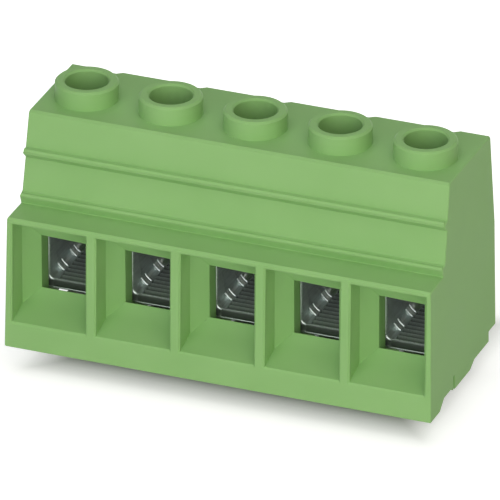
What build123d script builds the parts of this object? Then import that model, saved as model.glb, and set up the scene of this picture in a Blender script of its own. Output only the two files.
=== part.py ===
from build123d import *
import os
from math import radians, tan

# Five-pole screw terminal block for a printed circuit board, with rising clamp cages.
# Millimetres, +Z up. X runs along the row of poles, and the wires come in from -Y.
# The origin is the middle of the solder pin pattern, on the surface of the board.
# Depths are measured back from the foot of the front face, and heights up from the board.

# Row of poles
poles = 5
pitch = 10.16
end_allowance = 0.25  # what each end wall adds to the row of pitches
draft_angle = 1.0  # the end walls lean in towards the top

# Clamp screw
lift_turns = 7
thread_pitch = 0.7
thread_radius = 2.0
thread_gap = 0.1
head_radius = 2.95
head_height = 3.0
slot_width = 1.0
slot_depth = 1.5
tip_gap = 0.05  # between the screw's tip and the contact bar

# Clamp cage
wire_space_width = 5.6
closed_gap = 0.4  # left between the cage floor and the bar when the screw is home
cage_strip = 1.2
cage_bend_radius = 0.5
cage_length = 9.5
cage_top_thickness = 2.75
cage_over_bar = 0.5
cage_rest_height = 4.5  # underside of the open cage, above the board
cage_edge = 0.2
ramp_height = 1.0  # slope at the front of the cage floor
ramp_run = 0.45
serration_pitch = 0.9
serration_depth = 0.25
serration_land = 0.15  # flat left round the serrations
rib_leg = 0.95  # pressed stiffening ribs in the lower corners
rib_width = 1.1
rib_spacing = 3.7
rib_sink = 0.05

# Contact bar
bar_width = 4.2
bar_thickness = 1.2
bar_bend_radius = 0.8
bar_base_height = 1.2
bar_end_gap = 0.2  # between the upper arm's end and the front wall
pin_width = 1.3
pin_length = 3.3
pin_tip = 0.3
pin_wall_gap = 0.14

# Room around the moving pieces
cage_side_gap = 0.15
cage_end_gap = 0.4
cage_top_gap = 0.35
head_side_gap = 0.15
head_end_gap = 0.25

# Wire funnel
web_thickness = 1.26  # between two mouths
foot_height = 3.15  # below the mouths
funnel_depth = 3.3
funnel_floor_rise = 0.92
funnel_roof_drop = 0.9
lead_in_depth = 1.55
window_inset = 0.1  # window edge, inside the cage wall
front_wall = 2.05  # from the window's edge to the clamp chamber
lip_fall = 1.4  # the window's sill falls away behind its edge
mouth_edge = 0.2

# Housing outline
front_lean = 0.4
lintel_height = 3.85  # from the contact bar's top to the ledge
top_bar = 0.55
ledge_depth = 4.55
marker_lean_angle = 12.0
bead_rise = 1.05
bead_reach = 0.45
bead_return = 0.35
panel_depth = 4.95
panel_height = 3.8
lip_rise = 0.85
lip_reach = 0.9
lip_thickness = 1.3
upper_face_recess = 0.07
roof_thickness = 2.45  # over the screw heads
rear_wall = 2.45
rear_set_back = 1.2  # of the top edge, from the foot of the rear slope
rear_slope_height = 15.5
rear_foot_relief = 2.5
rear_foot_land = 0.25
soft_edge = 0.25
fine_edge = 0.12
end_edge = 0.1

# Collars and the notches behind them
collar_radius = 3.62
collar_height = 2.25
driver_hole_radius = 2.48
collar_edge = 0.25
driver_edge = 0.2
notch_width = 3.3
notch_floor_width = 1.5
notch_depth = 0.65
notch_length = 8.0

# Relief under the end walls, and the hollows under the funnels
end_relief_start = 2.9
end_relief_ramp = 1.4
end_relief_height = 1.1
end_land_height = 0.6
end_land_start = 7.3
end_land_end = 12.6
end_land_ramp = 0.3
end_rear_relief = 1.3
end_slot_width = 0.4
end_slot_height = 2.35
end_slot_depth = 0.4
hollow_wall = 1.3
hollow_roof = 1.25

# Heights that follow
travel = lift_turns * thread_pitch
cage_floor = cage_rest_height + cage_strip
bar_underside = cage_floor + travel + closed_gap
bar_top = bar_underside + bar_thickness
cage_inner_top = bar_top + cage_over_bar
cage_top = cage_inner_top + cage_top_thickness
chamber_top = cage_top + travel + cage_top_gap
head_base = chamber_top + head_end_gap
head_top = head_base + head_height
neck_height = head_top + head_end_gap
top_height = neck_height + roof_thickness
ledge_height = bar_top + lintel_height
mouth_top = ledge_height - top_bar

# Depths that follow
window_depth = funnel_depth + lead_in_depth
chamber_front = window_depth + front_wall
cage_front = chamber_front + cage_end_gap
screw_depth = cage_front + cage_length / 2
leg_front = cage_front + cage_length + cage_end_gap
chamber_rear = leg_front + bar_thickness
overall_depth = chamber_rear + rear_wall
rear_pin_depth = leg_front + bar_thickness / 2
front_pin_depth = chamber_front + pin_wall_gap + bar_thickness / 2
origin_depth = (front_pin_depth + rear_pin_depth) / 2

# Widths that follow
base_width = poles * pitch + 2 * end_allowance
mouth_width = pitch - web_thickness
window_width = wire_space_width - 2 * window_inset
cage_width = wire_space_width + 2 * cage_strip
chamber_width = cage_width + 2 * cage_side_gap
last_chamber_side = (poles - 1) / 2 * pitch + chamber_width / 2

pole_places = [(n - (poles - 1) / 2) * pitch for n in range(poles)]
past = 1.0  # how far a cutting shape runs past the face that it opens
oversize = 3  # how many times larger than the block its trimming slabs are
low_corner = (Align.CENTER, Align.MIN, Align.MIN)


def block(width, front, rear, low, high):
    """A box on the pole's centre plane, between two depths and two heights."""
    shape = Box(width, rear - front, high - low, align=low_corner)
    return Pos(0, front - origin_depth, low) * shape


def side_profile(corners):
    """A face in the YZ plane from depths, heights and how much each corner is cut back."""
    places = [Vector(depth - origin_depth, height) for depth, height, _ in corners]
    outline = []
    for n, (_, _, cut) in enumerate(corners):
        for other in (places[n - 1], places[(n + 1) % len(places)]):
            outline.append(places[n] + (other - places[n]).normalized() * cut)
    kept = [place for n, place in enumerate(outline) if (place - outline[n - 1]).length > 0]
    return Plane.YZ * make_face(Polyline(*kept, close=True))


def lean(height):
    """How far the upper front leans back over a height."""
    return height * tan(radians(marker_lean_angle))


def housing_outline():
    """The outline that runs the length of the block, clockwise from the foot of the front."""
    bead_top = ledge_height + bead_rise
    panel_foot = bead_top + bead_return
    panel_top = panel_foot + panel_height
    panel_back = panel_depth + lean(panel_height)
    lip_tip = panel_top + lip_rise
    lip_top = panel_top + lip_thickness
    upper_foot = panel_back + upper_face_recess
    rear_foot = chamber_rear + rear_foot_land
    return side_profile(
        [
            (0, 0, fine_edge),
            (front_lean, ledge_height, soft_edge),
            (ledge_depth, ledge_height, 0),
            (ledge_depth - bead_reach, bead_top, fine_edge),
            (panel_depth, panel_foot, 0),
            (panel_back, panel_top, 0),
            (panel_back - lip_reach, lip_tip, fine_edge),
            (upper_foot, lip_top, 0),
            (upper_foot + lean(top_height - lip_top), top_height, soft_edge),
            (overall_depth - rear_set_back, top_height, soft_edge),
            (overall_depth, rear_slope_height, 0),
            (overall_depth, rear_foot_relief, fine_edge),
            (rear_foot, rear_foot_relief, 0),
            (rear_foot, 0, 0),
        ]
    )


def draft_cutter(side):
    """A slab outside one end wall, leaning with the draft."""
    align = (Align.MIN if side > 0 else Align.MAX, Align.CENTER, Align.CENTER)
    slab = Box(base_width, oversize * overall_depth, oversize * top_height, align=align)
    return Pos(side * base_width / 2, 0, 0) * Rot(0, -side * draft_angle, 0) * slab


def end_relief():
    """The stepped cut under the end walls, which lets solder fumes out."""
    rear = chamber_rear + rear_foot_land
    land_end = end_land_end + end_relief_ramp
    profile = side_profile(
        [
            (end_relief_start, -past, 0),
            (end_relief_start, 0, 0),
            (end_relief_start + end_relief_ramp, end_relief_height, 0),
            (end_land_start - end_land_ramp, end_relief_height, 0),
            (end_land_start, end_land_height, 0),
            (end_land_end, end_land_height, 0),
            (land_end, end_rear_relief, 0),
            (rear + past, end_rear_relief, 0),
            (rear + past, -past, 0),
        ]
    )
    whole = extrude(profile, base_width / 2 + past, both=True)
    return whole - extrude(profile, last_chamber_side, both=True)


def end_slots():
    """The short slot up from the foot of each end wall."""
    slot = block(base_width + past, end_land_start, end_land_start + end_slot_width, -past, end_slot_height)
    core = block(base_width - 2 * end_slot_depth, 0, overall_depth, -past, end_slot_height)
    return slot - core


def funnel():
    """The space that a wire passes through, from the mouth to the clamp chamber."""
    floor_rise = funnel_floor_rise / funnel_depth * past
    roof_drop = funnel_roof_drop / funnel_depth * past
    side_view = side_profile(
        [
            (-past, foot_height - floor_rise, 0),
            (funnel_depth, foot_height + funnel_floor_rise, 0),
            (window_depth, cage_floor, 0),
            (chamber_front, cage_floor - lip_fall, 0),
            (chamber_front, bar_top, 0),
            (window_depth, bar_top, 0),
            (funnel_depth, mouth_top - funnel_roof_drop, 0),
            (-past, mouth_top + roof_drop, 0),
        ]
    )
    plan_corners = [
        (mouth_width / 2, -past),
        (mouth_width / 2, funnel_depth),
        (window_width / 2, window_depth),
        (window_width / 2, chamber_front),
    ]
    right_side = [(half_width, depth - origin_depth) for half_width, depth in plan_corners]
    left_side = [(-x, y) for x, y in reversed(right_side)]
    plan_view = make_face(Polyline(*right_side, *left_side, close=True))
    return extrude(side_view, mouth_width / 2, both=True) & extrude(plan_view, top_height)


def clamp_chamber():
    """The chamber for the cage and the bar, open below, with the screw's guide above it."""
    chamber = block(chamber_width, chamber_front, chamber_rear, -past, chamber_top)
    rear_gap = block(chamber_width, screw_depth, chamber_rear + past, -past, rear_foot_relief)
    guide = Cylinder(
        head_radius + head_side_gap,
        neck_height - bar_top,
        align=(Align.CENTER, Align.CENTER, Align.MAX),
    )
    driver = Cylinder(
        driver_hole_radius,
        top_height,
        align=(Align.CENTER, Align.CENTER, Align.MIN),
    )
    screw_axis = Pos(0, screw_depth - origin_depth, neck_height)
    return chamber + rear_gap + screw_axis * guide + screw_axis * driver


def foot_hollow():
    """The moulded hollow under a funnel, which keeps the foot's walls even."""
    return block(
        pitch - 2 * hollow_wall,
        hollow_wall,
        chamber_front - hollow_wall,
        -past,
        foot_height - hollow_roof,
    )


def rear_notch():
    """The shallow notch down the rear slope behind a collar."""
    half, floor_half = notch_width / 2, notch_floor_width / 2
    outline = Polyline(
        (-half, 0), (-floor_half, -notch_depth), (floor_half, -notch_depth), (half, 0), close=True
    )
    slope = rear_set_back / (top_height - rear_slope_height)
    down = Vector(0, slope, -1)
    top_edge = Vector(0, overall_depth - rear_set_back - origin_depth, top_height)
    start = top_edge - down * past
    plane = Plane(origin=start, x_dir=(1, 0, 0), z_dir=down)
    return extrude(plane * make_face(mirror(outline, about=Plane.XZ)), notch_length)


def make_housing():
    """The moulded body: one outline, drafted ends, and the same spaces in every pole."""
    body = extrude(housing_outline(), base_width / 2 + past, both=True)
    body -= draft_cutter(1)
    body -= draft_cutter(-1)
    walls = body.faces().sort_by(Axis.X)
    body = chamfer(walls[0].outer_wire().edges() + walls[-1].outer_wire().edges(), end_edge)
    body -= end_relief()
    body -= end_slots()
    collar = Cylinder(
        collar_radius, collar_height + past, align=(Align.CENTER, Align.CENTER, Align.MAX)
    )
    collar = chamfer(collar.edges().sort_by(Axis.Z)[-1], collar_edge)
    collar_place = Pos(0, screw_depth - origin_depth, top_height + collar_height)
    spaces = funnel() + clamp_chamber() + foot_hollow()
    for x in pole_places:
        body += Pos(x, 0, 0) * collar_place * collar
    for x in pole_places:
        body -= Pos(x, 0, 0) * spaces
        body -= Pos(x, 0, 0) * rear_notch()
    front_faces = body.faces().filter_by(lambda face: -face.normal_at().Y > abs(face.normal_at().Z))
    front_face = front_faces.sort_by(SortBy.AREA)[-1]
    mouth_rims = [edge for wire in front_face.inner_wires() for edge in wire.edges()]
    body = chamfer(mouth_rims, mouth_edge)
    rings = body.edges().filter_by(GeomType.CIRCLE).group_by(Axis.Z)[-1]
    driver_rims = [ring for ring in rings if ring.radius < collar_radius - 2 * collar_edge]
    return chamfer(driver_rims, driver_edge)


def make_cage():
    """A bent strip cage, open at both ends, with a serrated floor and a threaded top."""
    height = cage_top - cage_rest_height
    inner_height = cage_inner_top - cage_floor
    outer = Pos(0, cage_rest_height + height / 2) * Rectangle(cage_width, height)
    outer = fillet(outer.vertices().group_by(Axis.Y)[0], cage_bend_radius + cage_strip)
    outer = chamfer(outer.vertices().group_by(Axis.Y)[-1], cage_strip / 2)
    inner = Pos(0, cage_floor + inner_height / 2) * Rectangle(wire_space_width, inner_height)
    inner = fillet(inner.vertices().group_by(Axis.Y)[0], cage_bend_radius)
    front = Plane.XZ.offset(origin_depth - cage_front)
    cage = extrude(front * (outer - inner), -cage_length)
    thread = Cylinder(thread_radius, cage_top, align=(Align.CENTER, Align.CENTER, Align.MIN))
    cage -= Pos(0, screw_depth - origin_depth, bar_top) * thread
    cage -= floor_ramp()
    cage -= wall_bevels()
    cage -= floor_serrations()
    return cage + corner_ribs()


def floor_ramp():
    """What the slope takes off the front of the cage floor, between the bends."""
    profile = side_profile(
        [
            (cage_front, cage_floor - ramp_height, 0),
            (cage_front, cage_floor, 0),
            (cage_front + ramp_run, cage_floor, 0),
        ]
    )
    return extrude(profile, wire_space_width / 2 - cage_bend_radius, both=True)


def wall_bevels():
    """What the bevel down the front inner edge of each cage wall takes off, above the bend."""
    wall, front = wire_space_width / 2, cage_front - origin_depth
    corner = Polyline((wall, front), (wall + cage_edge, front), (wall, front + cage_edge), close=True)
    foot = cage_floor + cage_bend_radius
    bevel = extrude(Pos(0, 0, foot) * make_face(corner), cage_inner_top - foot)
    return [bevel, mirror(bevel, about=Plane.YZ)]


def floor_serrations():
    """V-shaped grooves across the flat of the cage floor."""
    flat_width = wire_space_width - 2 * (max(cage_bend_radius, rib_leg) + serration_land)
    start = cage_front + ramp_run + serration_land
    count = int((cage_front + cage_length - serration_land - start) / serration_pitch)
    groove = Polyline(
        (-serration_pitch / 2, 0), (0, -serration_depth), (serration_pitch / 2, 0), close=True
    )
    first = start + serration_pitch / 2 - origin_depth
    grooves = Sketch()
    for n in range(count):
        grooves += Pos(first + n * serration_pitch, cage_floor) * make_face(groove)
    return extrude(Plane.YZ * grooves, flat_width / 2, both=True)


def corner_ribs():
    """Two pressed ribs in each lower corner of the cage."""
    leg = rib_leg + 2 * rib_sink
    section = make_face(Polyline((0, 0), (leg, 0), (0, leg), close=True))
    corner = Pos(-wire_space_width / 2 - rib_sink, cage_floor - rib_sink)
    ribs = []
    for place in (-rib_spacing / 2, rib_spacing / 2):
        start = screw_depth + place - rib_width / 2
        rib = extrude(Plane.XZ.offset(origin_depth - start) * corner * section, -rib_width)
        ribs += [rib, mirror(rib, about=Plane.YZ)]
    return ribs


def make_screw():
    """A slotted cheese-head screw, with its shank at the thread's running size."""
    axis = Pos(0, screw_depth - origin_depth, 0)
    tip = bar_top + tip_gap
    upward = (Align.CENTER, Align.CENTER, Align.MIN)
    shank = Cylinder(thread_radius - thread_gap, head_top - tip - slot_depth, align=upward)
    head = Cylinder(head_radius, head_height, align=upward)
    slot = Box(2 * head_radius + past, slot_width, 2 * slot_depth)
    screw = Pos(0, 0, tip) * shank + Pos(0, 0, head_base) * head - Pos(0, 0, head_top) * slot
    return axis * screw


def make_contact_bar():
    """A strip bent to a C around the cage, with a solder pin at each end of its lower arm."""
    half = bar_thickness / 2
    corners = [
        (chamber_front + bar_end_gap, bar_underside + half),
        (rear_pin_depth, bar_underside + half),
        (rear_pin_depth, bar_base_height + half),
        (front_pin_depth - half, bar_base_height + half),
    ]
    places = [(depth - origin_depth, height) for depth, height in corners]
    path = FilletPolyline(*places, radius=bar_bend_radius + half)
    strip = extrude(Plane.YZ * trace(path, bar_thickness), bar_width / 2, both=True)
    for depth in (front_pin_depth, rear_pin_depth):
        pin = block(pin_width, depth - half, depth + half, -pin_length, bar_base_height + half)
        strip += chamfer(pin.faces().sort_by(Axis.Z)[0].edges(), pin_tip)
    return strip


def write(shape, node):
    """Writes one piece, named for its node."""
    export_step(shape, f"parts/{node}.step")


os.makedirs("parts", exist_ok=True)
write(make_housing(), "housing")
cage = make_cage()
screw = make_screw()
contact_bar = make_contact_bar()
for number, x in enumerate(pole_places, 1):
    write(Pos(x, 0, 0) * cage, f"clamp_cage_{number}")
    write(Pos(x, 0, 0) * screw, f"clamp_screw_{number}")
    write(Pos(x, 0, 0) * contact_bar, f"contact_bar_{number}")
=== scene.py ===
import math

import bpy
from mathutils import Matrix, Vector


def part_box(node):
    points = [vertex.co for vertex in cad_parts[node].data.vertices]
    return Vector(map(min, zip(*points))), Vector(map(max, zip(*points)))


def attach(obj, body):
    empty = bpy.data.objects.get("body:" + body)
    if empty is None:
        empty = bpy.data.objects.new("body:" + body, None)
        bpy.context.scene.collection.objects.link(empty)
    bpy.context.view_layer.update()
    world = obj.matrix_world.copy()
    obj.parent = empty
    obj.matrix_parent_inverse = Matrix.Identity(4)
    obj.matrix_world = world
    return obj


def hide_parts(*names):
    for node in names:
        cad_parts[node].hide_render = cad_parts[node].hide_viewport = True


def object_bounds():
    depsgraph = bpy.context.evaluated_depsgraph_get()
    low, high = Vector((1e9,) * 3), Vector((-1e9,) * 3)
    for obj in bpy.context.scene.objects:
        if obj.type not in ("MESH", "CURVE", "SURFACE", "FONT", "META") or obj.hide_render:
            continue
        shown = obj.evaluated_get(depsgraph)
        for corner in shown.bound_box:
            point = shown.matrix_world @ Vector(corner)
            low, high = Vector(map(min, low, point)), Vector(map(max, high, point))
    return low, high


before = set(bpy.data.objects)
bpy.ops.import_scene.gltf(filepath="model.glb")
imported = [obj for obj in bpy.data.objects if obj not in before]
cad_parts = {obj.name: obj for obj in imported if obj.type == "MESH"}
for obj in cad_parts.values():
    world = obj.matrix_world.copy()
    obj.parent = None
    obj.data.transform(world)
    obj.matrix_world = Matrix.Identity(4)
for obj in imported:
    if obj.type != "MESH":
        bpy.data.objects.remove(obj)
cad_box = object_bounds()

# Sizes are in metres, as the frame is, and MM turns millimetres into them
MM = 0.001
POLES = range(1, 6)
HOME = 3  # the pole whose pieces are modelled, and then copied to the others
ALONG_X = (1, 0, 0)
ALONG_Y = (0, 1, 0)
ALONG_Z = (0, 0, 1)
QUARTER_TURN = math.radians(90)

# Camera: a long lens, well back, to the right of the block and above it
VIEW_AZIMUTH = math.radians(21.42)
VIEW_ELEVATION = math.radians(26.985)
VIEW_DISTANCE = 1272.4 * MM
VIEW_LENS = 817.4
VIEW_CLIP = 10
VIEW_AIM = Vector((0.394, -3.354, 12.558)) * MM

# Lights: square, all as far from the block and as large
LIGHT_DISTANCE = 0.6
LIGHT_SIZE = 0.6

# Moulded housing
SHARP_ANGLE = math.radians(55)  # sharper edges get a moulded radius, and the cut corners stay
MOULDED_RADIUS = 0.08 * MM
END_EDGE = 0.1 * MM  # cut corner round the end walls
DRAFT_ANGLE = math.radians(1.0)  # the end walls lean in towards the top

# Rounds along the housing's front: depth behind it, height and radius
LIP_ROUND = (5.247 * MM, 22.27 * MM, 0.3 * MM)
LEDGE_ROUND = (4.427 * MM, 17.08 * MM, 0.28 * MM)
ROUND_SIDES = 32

# Clamp cage, bent from strip
CAGE_STRIP = 1.2 * MM
CAGE_WALL = 1.3 * MM
CAGE_TOP = 2.75 * MM
CAGE_BEND = 0.5 * MM
CAGE_TOP_CUT = 0.6 * MM
CAGE_RIM = 0.25 * MM  # round on the front inner rim
CAGE_EDGE = 0.04 * MM  # round that the press leaves on the other edges
RAMP_HEIGHT = 1.0 * MM  # slope at the front of the floor
RAMP_RUN = 0.1 * MM
BURR_RADIUS = 0.09 * MM  # burr along the lower front edge
BURR_SIDES = 16
CAGE_THREAD = 2.0 * MM
HOLE_SIDES = 64
BEND_SEGMENTS = 12
RIM_SEGMENTS = 4
SERRATION_PITCH = 0.9 * MM
SERRATION_DEPTH = 0.3 * MM
SERRATION_LAND = 0.15 * MM
SERRATION_SIDES = 4  # a rod with four sides, on its corner, cuts a V

# Pressed ribs in the cage's lower corners
RIB_LEG = 0.82 * MM
RIB_WIDTH = 1.1 * MM
RIB_SPACING = 3.7 * MM
RIB_SINK = 0.3 * MM  # how far a rib reaches into the strip
RIB_HOLLOW = 2.0 * MM  # radius of a rib's hollow curve
HOLLOW_SIDES = 192
BEAD_RADIUS = 0.15 * MM
BEAD_SIDES = 16

# Clamp screw
HEAD_HEIGHT = 3.0 * MM
HEAD_EDGE = 0.3 * MM
HEAD_SIDES = 96
HEAD_SEGMENTS = 4
SLOT_WIDTH = 1.0 * MM
SLOT_DEPTH = 1.5 * MM
SLOT_EDGE = 0.08 * MM
SHANK_RADIUS = 1.9 * MM
CORE_SIDES = 64
THREAD_PITCH = 0.7 * MM
THREAD_DEPTH = 0.38 * MM
THREAD_CREST = 0.1 * MM
THREAD_STEPS = 48

# Contact bar
STAMPED_EDGE = 0.12 * MM
STAMPED_SEGMENTS = 3

# Floor
FLOOR_SIZE = 2.5
FLOOR_GLOW = 0.85
PAINTED_SHADOW_INSIDE = 6.2 * MM  # how far in under the block the glow is faded out to nothing, as painted shadow
PAINTED_SHADOW_OUTSIDE = 15 * MM  # how far out from the block the painted shadow fades and the glow is full
EDGE_GLOW = 0.6  # the glow's level close to the block's edge, within the painted shadow
EDGE_SHARE = 0.8  # where that is, on the way from the darkest painted shadow out to the block's edge
PAINTED_SHADOW_BEHIND = 14 * MM  # how far behind the block the painted shadow reaches too

# The part of a noise pattern's range over which a material changes
NOISE_LOW = 0.3
NOISE_HIGH = 0.7

# Meshing
CREASE_ANGLE = math.radians(35)
SOFT_CREASE = math.radians(40)  # the crease between softened edges and their faces
EDGE_SEGMENTS = 2
FLAT_ANGLE = math.radians(0.5)  # faces that differ by less are one face
MERGE_REACH = 0.002 * MM


def only(piece):
    """Leaves one piece selected and active, in object mode."""
    bpy.ops.object.select_all(action="DESELECT")
    piece.select_set(True)
    bpy.context.view_layer.objects.active = piece


def settle(piece, name):
    """Names a piece and puts its place into its mesh."""
    only(piece)
    bpy.ops.object.transform_apply(location=True, rotation=True, scale=True)
    piece.name = name
    piece.data.name = name
    return piece


def add_block(name, low, high):
    """A cuboid between two corners."""
    bpy.ops.object.select_all(action="DESELECT")
    low, high = Vector(low), Vector(high)
    bpy.ops.mesh.primitive_cube_add(size=1, location=(low + high) / 2, scale=high - low)
    return settle(bpy.context.object, name)


def add_rod(name, start, radius, length, along, sides):
    """A round rod from a point, along an axis."""
    bpy.ops.object.select_all(action="DESELECT")
    direction = Vector(along)
    bpy.ops.mesh.primitive_cylinder_add(
        vertices=sides,
        radius=radius,
        depth=length,
        location=Vector(start) + direction * length / 2,
        rotation=direction.to_track_quat("Z", "Y").to_euler(),
    )
    return settle(bpy.context.object, name)


def open_whole(piece):
    """Opens a piece in edit mode with all of it selected."""
    only(piece)
    bpy.ops.object.mode_set(mode="EDIT")
    bpy.ops.mesh.select_all(action="SELECT")


def select_edges(piece, wanted):
    """Opens a piece in edit mode with the edges selected whose two ends pass a test."""
    only(piece)
    bpy.ops.object.mode_set(mode="EDIT")
    bpy.ops.mesh.select_mode(type="EDGE")
    bpy.ops.mesh.select_all(action="DESELECT")
    bpy.ops.object.mode_set(mode="OBJECT")
    points = piece.data.vertices
    for edge in piece.data.edges:
        edge.select = wanted(points[edge.vertices[0]].co, points[edge.vertices[1]].co)
    bpy.ops.object.mode_set(mode="EDIT")


def round_edges(piece, wanted, radius, segments):
    """Rounds the edges that pass a test."""
    select_edges(piece, wanted)
    bpy.ops.mesh.bevel(offset=radius, segments=segments, affect="EDGES", clamp_overlap=True)
    bpy.ops.object.mode_set(mode="OBJECT")


def combine(piece, tool, operation):
    """Cuts a tool out of a piece or joins it on, and deletes the tool."""
    only(piece)
    boolean = piece.modifiers.new("combine", "BOOLEAN")
    boolean.operation = operation
    boolean.object = tool
    boolean.solver = "EXACT"
    bpy.ops.object.modifier_apply(modifier=boolean.name)
    bpy.data.meshes.remove(tool.data)
    open_whole(piece)
    bpy.ops.mesh.remove_doubles(threshold=MERGE_REACH)
    bpy.ops.object.mode_set(mode="OBJECT")


def join(piece, others):
    """Joins closed pieces to a piece as they are."""
    only(piece)
    for other in others:
        other.select_set(True)
    bpy.ops.object.join()


def repeat(piece, count, step):
    """Repeats a piece in a straight row."""
    only(piece)
    row = piece.modifiers.new("row", "ARRAY")
    row.use_relative_offset = False
    row.use_constant_offset = True
    row.constant_offset_displace = step
    row.count = count
    bpy.ops.object.modifier_apply(modifier=row.name)


def smooth(piece, angle):
    """Smooths the shading over edges blunter than an angle, and keeps large faces flat."""
    only(piece)
    bpy.ops.object.shade_smooth_by_angle(angle=angle)
    weigh = piece.modifiers.new("weigh", "WEIGHTED_NORMAL")
    weigh.keep_sharp = True
    bpy.ops.object.modifier_apply(modifier=weigh.name)


def soften(piece, width, segments):
    """Rounds every edge sharper than a crease, then smooths the shading over the rounds."""
    only(piece)
    bevel = piece.modifiers.new("soften", "BEVEL")
    bevel.width = width
    bevel.segments = segments
    bevel.limit_method = "ANGLE"
    bevel.angle_limit = CREASE_ANGLE
    bevel.use_clamp_overlap = True
    bpy.ops.object.modifier_apply(modifier=bevel.name)
    smooth(piece, SOFT_CREASE)


def copy_node(node, name):
    """A copy of a solid from the frame, with its triangles merged into one skin of plain faces."""
    piece = bpy.data.objects.new(name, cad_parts[node].data.copy())
    bpy.context.scene.collection.objects.link(piece)
    piece.data.name = name
    only(piece)
    bpy.ops.mesh.customdata_custom_splitnormals_clear()
    open_whole(piece)
    bpy.ops.mesh.remove_doubles(threshold=MERGE_REACH)
    bpy.ops.mesh.dissolve_limited(angle_limit=FLAT_ANGLE)
    bpy.ops.object.mode_set(mode="OBJECT")
    return piece


def copy_to_pole(piece, name, node, home_node):
    """A copy of a piece with its own mesh, moved from its home pole to another one."""
    only(piece)
    bpy.ops.object.duplicate()
    copy = bpy.context.object
    copy.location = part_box(node)[0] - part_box(home_node)[0]
    return settle(copy, name)


def linear(hex_colour):
    """An sRGB hex colour as linear light, with full alpha."""
    shares = [int(hex_colour[i : i + 2], 16) / 255 for i in (1, 3, 5)]
    light = [s / 12.92 if s <= 0.04045 else ((s + 0.055) / 1.055) ** 2.4 for s in shares]
    return (*light, 1.0)


def grey(level):
    """A grey of a linear level, with full alpha."""
    return (level, level, level, 1)


def add(tree, kind, inputs=None, **settings):
    """Adds a node with its settings, and sets or links its inputs."""
    node = tree.nodes.new(kind)
    for name, value in settings.items():
        setattr(node, name, value)
    for socket, value in (inputs or {}).items():
        if isinstance(value, bpy.types.NodeSocket):
            tree.links.new(value, node.inputs[socket])
        else:
            node.inputs[socket].default_value = value
    return node


def new_material(name):
    """A new material, its emptied node tree, and the Object coordinates in it."""
    material = bpy.data.materials.new(name)
    material.use_nodes = True
    tree = material.node_tree
    tree.nodes.clear()
    return material, tree, add(tree, "ShaderNodeTexCoord").outputs["Object"]


def noise(tree, place, size, detail, roughness=0.5):
    """A noise pattern with features of about a given size."""
    inputs = {"Vector": place, "Scale": 1 / size, "Detail": detail, "Roughness": roughness}
    return add(tree, "ShaderNodeTexNoise", inputs).outputs["Fac"]


def spread(tree, value, start, end, low=0.0, high=1.0):
    """Goes from low to high while a value goes from start to end."""
    inputs = {"Value": value, "From Min": start, "From Max": end, "To Min": low, "To Max": high}
    return add(tree, "ShaderNodeMapRange", inputs).outputs["Result"]


def larger(tree, first, second):
    """The larger of two values."""
    return add(tree, "ShaderNodeMath", {0: first, 1: second}, operation="MAXIMUM").outputs["Value"]


def vector_step(tree, operation, *values):
    """One step of arithmetic with vectors."""
    inputs = dict(enumerate(values))
    return add(tree, "ShaderNodeVectorMath", inputs, operation=operation).outputs["Vector"]


def two_tones(tree, pattern, dark, pale):
    """A colour that follows a pattern from one tone to another."""
    ramp = add(tree, "ShaderNodeValToRGB", {"Fac": pattern})
    stops = ramp.color_ramp.elements
    stops[0].position = NOISE_LOW
    stops[0].color = linear(dark)
    stops[1].position = NOISE_HIGH
    stops[1].color = linear(pale)
    return ramp.outputs["Color"]


def gloss(tree, pattern, low, high):
    """A roughness that follows a pattern between two values."""
    return spread(tree, pattern, NOISE_LOW, NOISE_HIGH, low, high)


def relief(tree, pattern, strength, depth):
    """A fine relief that follows a pattern."""
    inputs = {"Height": pattern, "Strength": strength, "Distance": depth}
    return add(tree, "ShaderNodeBump", inputs).outputs["Normal"]


def cover(tree, inputs):
    """Gives a material its surface."""
    surface = add(tree, "ShaderNodeBsdfPrincipled", inputs)
    add(tree, "ShaderNodeOutputMaterial", {"Surface": surface.outputs["BSDF"]})


def moulded_polyamide():
    """Green polyamide, injection moulded: satin, slightly milky, with a fine spark-eroded grain."""
    material, tree, place = new_material("moulded_polyamide")
    cloud = noise(tree, place, size=7 * MM, detail=2.0)
    grain = noise(tree, place, size=0.16 * MM, detail=3.0, roughness=0.6)
    cover(
        tree,
        {
            "Base Color": two_tones(tree, cloud, "#8BB774", "#90BB79"),
            "Roughness": gloss(tree, cloud, 0.46, 0.54),
            "Normal": relief(tree, grain, strength=0.12, depth=0.02 * MM),
            "IOR": 1.53,
            "Specular IOR Level": 0.1,
            "Subsurface Weight": 0.1,
            "Subsurface Radius": (0.6, 1.0, 0.3),
            "Subsurface Scale": 0.4 * MM,
        },
    )
    return material


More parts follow.
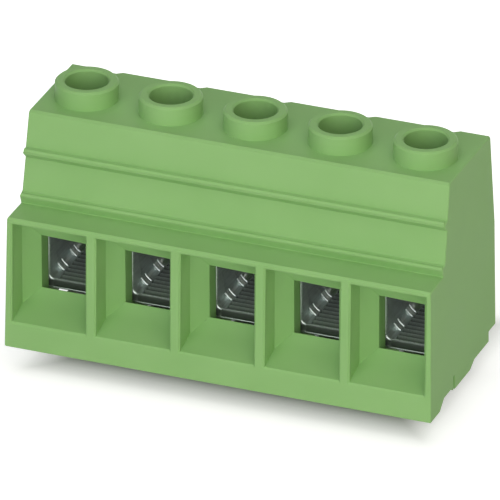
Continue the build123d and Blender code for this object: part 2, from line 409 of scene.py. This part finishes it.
def zinc_plated_strip():
    """Zinc-plated cold-rolled strip: grey, bright on its rounds, with faint rolling lines along Y.

    Below the face of the floor it is painted darker: painted shade in the serrations and on the
    sheared front edge. The burr under that edge keeps the plated tone.
    """
    material, tree, place = new_material("zinc_plated_strip")
    stretch = (1 / (0.12 * MM), 1 / (4 * MM), 1 / (0.12 * MM))
    along = add(tree, "ShaderNodeMapping", {"Vector": place, "Scale": stretch})
    lines = noise(tree, along.outputs["Vector"], size=1.0, detail=2.0)
    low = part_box(f"clamp_cage_{HOME}")[0].z
    floor = low + CAGE_STRIP
    height = add(tree, "ShaderNodeSeparateXYZ", {"Vector": place}).outputs["Z"]
    # Painted shade: the tone darkens below the face of the floor, in the serrations and on the
    # front edge; the burr at the bottom keeps the plated tone.
    clear_of_painted_shade = spread(tree, height, floor - SERRATION_DEPTH, floor)
    burr = spread(tree, height, low + 3 * BURR_RADIUS, low + 2 * BURR_RADIUS)
    # 6C726F is the painted shade, the two tones of lines the plated strip.
    tone = add(
        tree,
        "ShaderNodeMix",
        {
            "Factor": larger(tree, clear_of_painted_shade, burr),
            "A": linear("#6C726F"),
            "B": two_tones(tree, lines, "#AEB8B6", "#C8D2CF"),
        },
        data_type="RGBA",
    )
    cover(
        tree,
        {
            "Base Color": tone.outputs["Result"],
            "Metallic": 0.7,
            "Roughness": gloss(tree, lines, 0.3, 0.4),
            "Normal": relief(tree, lines, strength=0.1, depth=0.01 * MM),
        },
    )
    return material


def zinc_plated_screw():
    """Zinc-plated turned steel: bright, with a slight cloudiness in tone and gloss."""
    material, tree, place = new_material("zinc_plated_screw")
    blotch = noise(tree, place, size=1.5 * MM, detail=3.0)
    cover(
        tree,
        {
            "Base Color": two_tones(tree, blotch, "#B4B6B4", "#C9CAC6"),
            "Metallic": 1.0,
            "Roughness": gloss(tree, blotch, 0.2, 0.32),
        },
    )
    return material


def tinned_copper():
    """Tin-plated copper strip, stamped: pale, matt and slightly cloudy."""
    material, tree, place = new_material("tinned_copper")
    blotch = noise(tree, place, size=0.9 * MM, detail=4.0)
    cover(
        tree,
        {
            "Base Color": two_tones(tree, blotch, "#BDBBB4", "#D6D3CB"),
            "Metallic": 1.0,
            "Roughness": gloss(tree, blotch, 0.36, 0.5),
        },
    )
    return material


def finish_piece(piece, body, slot, material, *nodes):
    """Gives a piece its material and body, and hides the solids it stands for."""
    piece.data.materials.clear()
    piece.data.materials.append(material)
    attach(piece, body)
    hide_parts(*nodes)


def front_rod(name, depth, height, radius):
    """A rod along the housing's front, from end wall to end wall."""
    low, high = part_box("housing")
    half = high.x - height * math.tan(DRAFT_ANGLE) - END_EDGE
    start = (-half, low.y + depth, low.z + height)
    return add_rod(name, start, radius, 2 * half, ALONG_X, ROUND_SIDES)


def mould_housing():
    """The housing's solid with the small radii of its mould, and rounds along its lip and ledge."""
    piece = copy_node("housing", "moulded_housing")
    only(piece)
    bpy.ops.object.mode_set(mode="EDIT")
    bpy.ops.mesh.select_mode(type="EDGE")
    bpy.ops.mesh.select_all(action="DESELECT")
    bpy.ops.mesh.edges_select_sharp(sharpness=SHARP_ANGLE)
    bpy.ops.mesh.bevel(
        offset=MOULDED_RADIUS, segments=EDGE_SEGMENTS, affect="EDGES", clamp_overlap=False
    )
    bpy.ops.object.mode_set(mode="OBJECT")
    rounds = [front_rod("lip_round", *LIP_ROUND), front_rod("ledge_round", *LEDGE_ROUND)]
    join(piece, rounds)
    smooth(piece, CREASE_ANGLE)
    return piece


def press_rib(wall, floor, side, front):
    """A pressed rib in a lower corner of the cage: a hollow gusset, a round bead on each rim."""
    reach = RIB_LEG / 2 + math.sqrt(RIB_HOLLOW**2 / 2 - (RIB_LEG / 2) ** 2)
    axis = (wall - side * reach, front, floor + reach)
    near = wall + side * RIB_SINK
    far = wall - side * RIB_LEG
    corner_low = Vector((min(near, far), front, floor - RIB_SINK))
    corner_high = Vector((max(near, far), front + RIB_WIDTH, floor + RIB_LEG))
    rib = add_block("rib", corner_low, corner_high)
    hollow_start = (axis[0], front - RIB_WIDTH, axis[2])
    hollow = add_rod("hollow", hollow_start, RIB_HOLLOW, 3 * RIB_WIDTH, ALONG_Y, HOLLOW_SIDES)
    combine(rib, hollow, "DIFFERENCE")
    for place in (0, RIB_WIDTH):
        bpy.ops.object.select_all(action="DESELECT")
        bpy.ops.mesh.primitive_torus_add(
            major_radius=RIB_HOLLOW,
            minor_radius=BEAD_RADIUS,
            major_segments=HOLLOW_SIDES,
            minor_segments=BEAD_SIDES,
            location=(axis[0], front + place, axis[2]),
            rotation=(QUARTER_TURN, 0, 0),
        )
        bead = settle(bpy.context.object, "bead")
        spare = Vector((0, BEAD_RADIUS, 0))
        room = add_block("room", corner_low - spare, corner_high + spare)
        combine(bead, room, "INTERSECT")
        combine(rib, bead, "UNION")
    return rib


def cut_ramp(cage, foot, half):
    """Slopes the front of the cage floor from the middle of the slope's foot, between the bends."""
    wedge = add_block("ramp", (-half, -2 * RAMP_HEIGHT, 0), (half, 0, 2 * RAMP_HEIGHT))
    wedge.location = foot
    wedge.rotation_euler.x = -math.atan2(RAMP_RUN, RAMP_HEIGHT)
    combine(cage, settle(wedge, "ramp"), "DIFFERENCE")


def cut_serrations(cage, low, high, floor, flat):
    """V-shaped grooves across the flat of the cage floor, which is given by half its width."""
    first = low.y + RAMP_RUN + SERRATION_LAND
    count = int((high.y - SERRATION_LAND - first) / SERRATION_PITCH)
    start = ((low + high).x / 2 - flat, first + SERRATION_PITCH / 2, floor)
    half_pitch = SERRATION_PITCH / 2
    groove = add_rod("serrations", start, half_pitch, 2 * flat, ALONG_X, SERRATION_SIDES)
    open_whole(groove)
    bpy.ops.transform.resize(value=(1, 1, SERRATION_DEPTH / half_pitch), center_override=start)
    bpy.ops.object.mode_set(mode="OBJECT")
    repeat(groove, count, (0, SERRATION_PITCH, 0))
    combine(cage, groove, "DIFFERENCE")


def bend_cage():
    """A cage bent from strip, open at both ends, with a serrated floor and pressed corner ribs."""
    low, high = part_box(f"clamp_cage_{HOME}")
    middle = (low + high) / 2
    cage = add_block(f"cage_{HOME}", low, high)
    round_edges(
        cage,
        lambda a, b: max(a.z, b.z) < low.z + CAGE_STRIP / 2 and abs(a.y - b.y) > CAGE_STRIP,
        CAGE_BEND + CAGE_STRIP,
        BEND_SEGMENTS,
    )
    round_edges(
        cage,
        lambda a, b: min(a.z, b.z) > high.z - CAGE_STRIP / 2 and abs(a.y - b.y) > CAGE_STRIP,
        CAGE_TOP_CUT,
        BEND_SEGMENTS // 2,
    )

    space_low = Vector((low.x + CAGE_WALL, low.y - CAGE_STRIP, low.z + CAGE_STRIP))
    space_high = Vector((high.x - CAGE_WALL, high.y + CAGE_STRIP, high.z - CAGE_TOP))
    space_half = (space_high.x - space_low.x) / 2
    space = add_block("wire_space", space_low, space_high)
    round_edges(
        space,
        lambda a, b: max(a.z, b.z) < space_low.z + CAGE_STRIP / 2
        and abs(a.y - b.y) > CAGE_STRIP,
        CAGE_BEND,
        BEND_SEGMENTS,
    )
    combine(cage, space, "DIFFERENCE")
    within = (space_low.x - MERGE_REACH, space_high.x + MERGE_REACH)
    round_edges(
        cage,
        lambda a, b: max(a.y, b.y) < low.y + MERGE_REACH
        and within[0] < min(a.x, b.x)
        and max(a.x, b.x) < within[1]
        and min(a.z, b.z) > space_low.z - MERGE_REACH
        and max(a.z, b.z) < space_high.z + MERGE_REACH,
        CAGE_RIM,
        RIM_SEGMENTS,
    )
    ramp_foot = Vector((middle.x, low.y, space_low.z - RAMP_HEIGHT))
    cut_ramp(cage, ramp_foot, space_half - CAGE_BEND)

    hole_foot = (middle.x, middle.y, high.z - 2 * CAGE_TOP)
    hole = add_rod("hole", hole_foot, CAGE_THREAD, 3 * CAGE_TOP, ALONG_Z, HOLE_SIDES)
    combine(cage, hole, "DIFFERENCE")
    cut_serrations(cage, low, high, space_low.z, space_half - RIB_LEG - SERRATION_LAND)
    soften(cage, CAGE_EDGE, EDGE_SEGMENTS)

    foot_half = (high.x - low.x) / 2 - CAGE_BEND - CAGE_STRIP
    burr_start = (middle.x - foot_half, low.y + BURR_RADIUS / 2, low.z + BURR_RADIUS)
    burr = add_rod("burr", burr_start, BURR_RADIUS, 2 * foot_half, ALONG_X, BURR_SIDES)
    combine(cage, burr, "UNION")

    for side, wall in ((-1, space_low.x), (1, space_high.x)):
        for place in (-RIB_SPACING / 2, RIB_SPACING / 2):
            front = middle.y + place - RIB_WIDTH / 2
            combine(cage, press_rib(wall, space_low.z, side, front), "UNION")
    only(cage)
    bpy.ops.object.shade_smooth_by_angle(angle=CREASE_ANGLE)
    return cage


def roll_thread(foot, top):
    """A shank with a rolled thread: a core rod, and one closed profile wound up round it."""
    root = SHANK_RADIUS - THREAD_DEPTH
    bpy.ops.object.select_all(action="DESELECT")
    bpy.ops.mesh.primitive_plane_add(size=1, rotation=(QUARTER_TURN, 0, 0))
    thread = settle(bpy.context.object, "thread")
    for point in thread.data.vertices:
        outer = point.co.x > 0
        radius = SHANK_RADIUS if outer else root - THREAD_CREST
        half = THREAD_CREST / 2 if outer else THREAD_PITCH / 2 - THREAD_CREST / 2
        point.co = (radius, 0, half if point.co.z > 0 else -half)
    open_whole(thread)
    bpy.ops.mesh.delete(type="ONLY_FACE")
    bpy.ops.object.mode_set(mode="OBJECT")
    winding = thread.modifiers.new("winding", "SCREW")
    winding.screw_offset = THREAD_PITCH
    winding.iterations = int((top - foot.z) / THREAD_PITCH) - 1
    winding.steps = THREAD_STEPS
    winding.render_steps = THREAD_STEPS
    winding.use_merge_vertices = False
    bpy.ops.object.modifier_apply(modifier=winding.name)
    thread.location = foot + Vector((0, 0, THREAD_PITCH))
    open_whole(settle(thread, "thread"))
    bpy.ops.mesh.fill_holes(sides=0)
    bpy.ops.mesh.select_all(action="SELECT")
    bpy.ops.mesh.normals_make_consistent(inside=False)
    bpy.ops.object.mode_set(mode="OBJECT")
    core = add_rod("core", foot, root, top - foot.z, ALONG_Z, CORE_SIDES)
    round_edges(core, lambda a, b: max(a.z, b.z) < foot.z + THREAD_PITCH / 2, THREAD_DEPTH, 1)
    return [core, thread]


def turn_screw():
    """A slotted cheese-head screw with a rolled thread."""
    low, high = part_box(f"clamp_screw_{HOME}")
    middle = (low + high) / 2
    head_base = high.z - HEAD_HEIGHT
    head_foot = (middle.x, middle.y, head_base)
    head_radius = (high.x - low.x) / 2
    screw = add_rod(f"screw_{HOME}", head_foot, head_radius, HEAD_HEIGHT, ALONG_Z, HEAD_SIDES)
    round_edges(screw, lambda a, b: min(a.z, b.z) > high.z - HEAD_EDGE, HEAD_EDGE, HEAD_SEGMENTS)
    slot_low = (low.x - SLOT_WIDTH, middle.y - SLOT_WIDTH / 2, high.z - SLOT_DEPTH)
    slot_high = (high.x + SLOT_WIDTH, middle.y + SLOT_WIDTH / 2, high.z + SLOT_DEPTH)
    combine(screw, add_block("driver_slot", slot_low, slot_high), "DIFFERENCE")
    soften(screw, SLOT_EDGE, EDGE_SEGMENTS)
    foot = Vector((middle.x, middle.y, low.z))
    join(screw, roll_thread(foot, head_base + HEAD_EDGE))
    bpy.ops.object.shade_smooth_by_angle(angle=CREASE_ANGLE)
    return screw


def stamp_bar():
    """The contact bar's solid, with its stamped edges rounded."""
    bar = copy_node(f"contact_bar_{HOME}", f"bar_{HOME}")
    soften(bar, STAMPED_EDGE, STAMPED_SEGMENTS)
    return bar


def seen_directly(tree):
    """One for the rays that show a surface to the eye, straight or mirrored, zero for the rest."""
    path = add(tree, "ShaderNodeLightPath").outputs
    mirrored = larger(tree, path["Is Glossy Ray"], path["Is Transmission Ray"])
    return larger(tree, path["Is Camera Ray"], mirrored)


def pale_floor():
    """A pale floor under the pins, white to the eye by a glow that fades out beneath, round and
    behind the block as a painted shadow.
    """
    low = cad_box[0]
    high = cad_box[1] + Vector((0, PAINTED_SHADOW_BEHIND, 0))
    middle, half = (low + high) / 2, (high - low) / 2
    bpy.ops.object.select_all(action="DESELECT")
    bpy.ops.mesh.primitive_plane_add(size=FLOOR_SIZE, location=(0, 0, low.z))
    floor = settle(bpy.context.object, "pale_floor")
    material, tree, place = new_material("pale_floor")
    offset = vector_step(tree, "SUBTRACT", place, (middle.x, middle.y, 0))
    distance = vector_step(tree, "ABSOLUTE", offset)
    past_edge = vector_step(tree, "SUBTRACT", distance, (half.x, half.y, 0))
    parts = add(tree, "ShaderNodeSeparateXYZ", {"Vector": past_edge}).outputs
    outside = larger(tree, parts["X"], parts["Y"])
    # Painted shadow: the glow fades out near the block, beneath it and behind it, where the floor's
    # own shading shows
    reach = spread(tree, outside, -PAINTED_SHADOW_INSIDE, PAINTED_SHADOW_OUTSIDE)
    glow = add(tree, "ShaderNodeValToRGB", {"Fac": reach})
    stops = glow.color_ramp.elements
    stops[0].color = grey(0)
    stops[1].color = grey(FLOOR_GLOW)
    edge = stops.new(EDGE_SHARE * PAINTED_SHADOW_INSIDE / (PAINTED_SHADOW_INSIDE + PAINTED_SHADOW_OUTSIDE))
    edge.color = grey(EDGE_GLOW)
    sheet = add(tree, "ShaderNodeBsdfDiffuse", {"Color": linear("#DDDDDD")}).outputs["BSDF"]
    light = add(tree, "ShaderNodeEmission", {"Color": glow.outputs["Color"]}).outputs["Emission"]
    sheet_and_glow = add(tree, "ShaderNodeAddShader", {0: sheet, 1: light}).outputs["Shader"]
    surface = add(tree, "ShaderNodeMixShader", {0: seen_directly(tree), 1: sheet, 2: sheet_and_glow})
    add(tree, "ShaderNodeOutputMaterial", {"Surface": surface.outputs["Shader"]})
    floor.data.materials.append(material)


def studio_world():
    """White to the eye and in reflections. All other light comes from the lamps."""
    world = bpy.data.worlds.new("studio")
    bpy.context.scene.world = world
    world.use_nodes = True
    tree = world.node_tree
    tree.nodes.clear()
    white = {"Color": linear("#FFFFFF"), "Strength": seen_directly(tree)}
    sky = add(tree, "ShaderNodeBackground", white)
    add(tree, "ShaderNodeOutputWorld", {"Surface": sky.outputs["Background"]})


def aim(name, data, azimuth, elevation, distance):
    """Places a camera or a lamp where it looks at the block from an angle."""
    back = Vector(
        (
            math.sin(azimuth) * math.cos(elevation),
            -math.cos(azimuth) * math.cos(elevation),
            math.sin(elevation),
        )
    )
    placed = bpy.data.objects.new(name, data)
    placed.location = VIEW_AIM + back * distance
    placed.rotation_mode = "QUATERNION"
    placed.rotation_quaternion = (-back).to_track_quat("-Z", "Y")
    bpy.context.scene.collection.objects.link(placed)
    return placed


def soft_light(name, azimuth, elevation, power, colour="#FFFFFF"):
    """A square soft light that looks at the block, with its angles in degrees."""
    lamp = bpy.data.lights.new(name, "AREA")
    lamp.size = LIGHT_SIZE
    lamp.energy = power
    lamp.color = linear(colour)[:3]
    return aim(name, lamp, math.radians(azimuth), math.radians(elevation), LIGHT_DISTANCE)


def set_camera():
    """The camera at the photograph's angle."""
    camera = bpy.data.cameras.new("camera")
    camera.lens = VIEW_LENS
    camera.clip_end = VIEW_CLIP
    eye = aim("camera", camera, VIEW_AZIMUTH, VIEW_ELEVATION, VIEW_DISTANCE)
    bpy.context.scene.camera = eye


bpy.context.scene.view_settings.view_transform = "Standard"
finish_piece(mould_housing(), "housing", "housing", moulded_polyamide(), "housing")

home_pieces = [
    (bend_cage(), "cage_{}", "clamp_cage", zinc_plated_strip(), "clamp_cage_{}"),
    (turn_screw(), "screw_{}", "clamp_screw", zinc_plated_screw(), "clamp_screw_{}"),
    (stamp_bar(), "housing", "contact_bar", tinned_copper(), "contact_bar_{}"),
]
for home_piece, body, slot_name, material, node in home_pieces:
    row = {HOME: home_piece}
    for number in POLES:
        if number != HOME:
            name = home_piece.name.replace(str(HOME), str(number))
            row[number] = copy_to_pole(home_piece, name, node.format(number), node.format(HOME))
    for number, piece in row.items():
        finish_piece(piece, body.format(number), slot_name, material, node.format(number))

set_camera()
pale_floor()
studio_world()
soft_light("top_light", 0, 80, power=1.5)
soft_light("front_light", 0, 8, power=3.1)
soft_light("right_light", 48, 25, power=1.45, colour="#FFFBE2")
rear_light = soft_light("rear_light", 180, 12, power=1.6)
rear_light.visible_glossy = False  # it lights the rear and leaves no glare on the top
